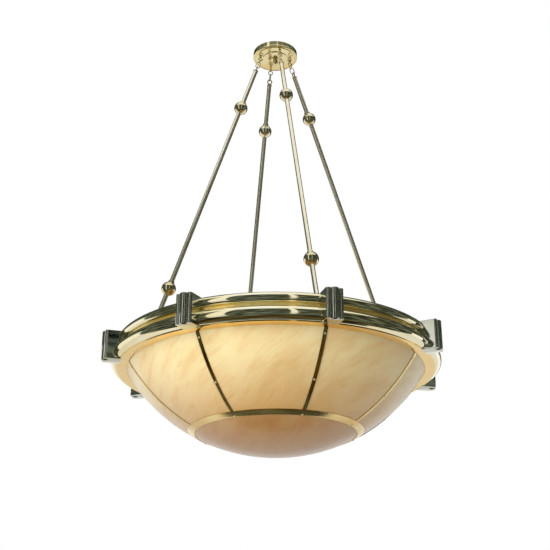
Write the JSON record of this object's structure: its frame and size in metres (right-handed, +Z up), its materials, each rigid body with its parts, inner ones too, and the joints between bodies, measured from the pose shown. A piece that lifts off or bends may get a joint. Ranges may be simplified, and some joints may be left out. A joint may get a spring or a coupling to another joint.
{
  "type": "pendant_light",
  "caption": "Alabaster bowl pendant light: stone bowl in a moulded brass ring with reeded clips, on sloping brass rods with balls, hung from a round canopy",
  "frame": {"origin": "centre of the canopy's rim, in the plane of the ceiling", "axes": "+Z up out of the room into the ceiling; X and Y along the two pairs of facing rods, the lamp bar along X"},
  "size_m": [0.951, 0.951, 1.26],
  "materials": {
    "brass": "polished and lacquered",
    "alabaster": "polished, translucent, honey-coloured veins",
    "zinc_steel": "zinc plated",
    "porcelain": "white glazed",
    "opal_glass": "opal white"
  },
  "bodies": {
    "canopy": {"canopy": "brass", "hanger_plate": "zinc_steel", "crossbar": "zinc_steel", "nipple": "zinc_steel", "lock_nuts": "zinc_steel", "canopy_eyes": "brass"},
    "cap_nut": {"cap_nut": "brass"},
    "hanger_1": {"top_ring_1": "brass", "top_link_1": "brass"},
    "rod_1": {"rod_eyes_1": "brass", "rod_tubes_1": "brass", "rod_balls_1": "brass"},
    "hanger_2": {"top_ring_2": "brass", "top_link_2": "brass"},
    "rod_2": {"rod_eyes_2": "brass", "rod_tubes_2": "brass", "rod_balls_2": "brass", "ring_link_2": "brass"},
    "hanger_3": {"top_ring_3": "brass", "top_link_3": "brass"},
    "rod_3": {"rod_eyes_3": "brass", "rod_tubes_3": "brass", "rod_balls_3": "brass", "ring_link_3": "brass"},
    "hanger_4": {"top_ring_4": "brass", "top_link_4": "brass"},
    "rod_4": {"rod_eyes_4": "brass", "rod_tubes_4": "brass", "rod_balls_4": "brass", "ring_link_4": "brass"},
    "ring_link_1": {"ring_link_1": "brass"},
    "ring": {"ring_flange": "brass", "ring_wall": "brass", "lower_roll": "brass", "upper_roll": "brass", "ring_lugs": "brass", "ring_clips": "brass", "clip_screws": "zinc_steel", "side_panel_1": "alabaster", "side_panel_2": "alabaster", "side_panel_3": "alabaster", "side_panel_4": "alabaster", "side_panel_5": "alabaster", "side_panel_6": "alabaster", "side_panel_7": "alabaster", "side_panel_8": "alabaster", "bottom_dish": "alabaster", "rib_strips": "brass", "centre_strip": "brass", "inner_frame": "zinc_steel", "strip_screws": "brass", "lamp_bar": "zinc_steel", "lampholders": "porcelain"},
    "bulb_1": {"bulb_1": "opal_glass"},
    "bulb_2": {"bulb_2": "opal_glass"},
    "bulb_3": {"bulb_3": "opal_glass"}
  },
  "joints": [
    {"name": "sway_front_back", "type": "hinge", "parent": "canopy", "child": "hanger_1", "pos_m": [0, -0.0484, -0.03164], "axis": [1, 0, 0], "range_deg": [-3, 3]},
    {"name": "sway_side", "type": "hinge", "parent": "hanger_1", "child": "rod_1", "pos_m": [0, -0.05856, -0.0631], "axis": [0, 1, 0], "range_deg": [-3, 3]},
    {"name": "ring_link_1_swing", "type": "hinge", "parent": "rod_1", "child": "ring_link_1", "pos_m": [0, -0.36045, -0.99737], "axis": [0, 1, 0], "range_deg": [-0.51, 0.51]},
    {"name": "ring_level", "type": "hinge", "parent": "ring_link_1", "child": "ring", "pos_m": [0, -0.3666, -1.0164], "axis": [1, 0, 0], "range_deg": [-0.416, 0.416]},
    {"name": "hanger_3_swing", "type": "hinge", "parent": "canopy", "child": "hanger_3", "pos_m": [0, 0.0484, -0.03164], "axis": [1, 0, 0], "range_deg": [-3.02, 3.02]},
    {"name": "rod_3_swing", "type": "hinge", "parent": "hanger_3", "child": "rod_3", "pos_m": [0, 0.05856, -0.0631], "axis": [0, 1, 0], "range_deg": [-3.01, 3.01]},
    {"name": "hanger_2_swing", "type": "hinge", "parent": "canopy", "child": "hanger_2", "pos_m": [0.0484, 0, -0.03164], "axis": [0, 1, 0], "range_deg": [-2.92, 2.92]},
    {"name": "rod_2_swing", "type": "hinge", "parent": "hanger_2", "child": "rod_2", "pos_m": [0.05856, 0, -0.0631], "axis": [1, 0, 0], "range_deg": [-3.12, 3.12]},
    {"name": "hanger_4_swing", "type": "hinge", "parent": "canopy", "child": "hanger_4", "pos_m": [-0.0484, 0, -0.03164], "axis": [0, 1, 0], "range_deg": [-2.92, 2.92]},
    {"name": "rod_4_swing", "type": "hinge", "parent": "hanger_4", "child": "rod_4", "pos_m": [-0.05856, 0, -0.0631], "axis": [1, 0, 0], "range_deg": [-3.12, 3.12]},
    {"name": "cap_nut_turn", "type": "hinge", "parent": "canopy", "child": "cap_nut", "pos_m": [0, 0, -0.022], "axis": [0, 0, 1], "continuous": true},
    {"name": "bulb_1_turn", "type": "hinge", "parent": "ring", "child": "bulb_1", "pos_m": [-0.15, 0, -1.0981], "axis": [0, 0, 1], "continuous": true},
    {"name": "bulb_2_turn", "type": "hinge", "parent": "ring", "child": "bulb_2", "pos_m": [0, 0, -1.0981], "axis": [0, 0, 1], "continuous": true},
    {"name": "bulb_3_turn", "type": "hinge", "parent": "ring", "child": "bulb_3", "pos_m": [0.15, 0, -1.0981], "axis": [0, 0, 1], "continuous": true}
  ],
  "couplings": [
    {"joint": "ring_link_1_swing", "follows": "sway_side", "ratio": -0.16247},
    {"joint": "ring_level", "follows": "sway_front_back", "ratio": -0.13202},
    {"joint": "hanger_3_swing", "follows": "sway_front_back", "ratio": 1},
    {"joint": "rod_3_swing", "follows": "sway_side", "ratio": 0.99676},
    {"joint": "hanger_2_swing", "follows": "sway_side", "ratio": 0.96492},
    {"joint": "rod_2_swing", "follows": "sway_front_back", "ratio": 1.033},
    {"joint": "hanger_4_swing", "follows": "sway_side", "ratio": 0.96492},
    {"joint": "rod_4_swing", "follows": "sway_front_back", "ratio": 1.033}
  ]
}
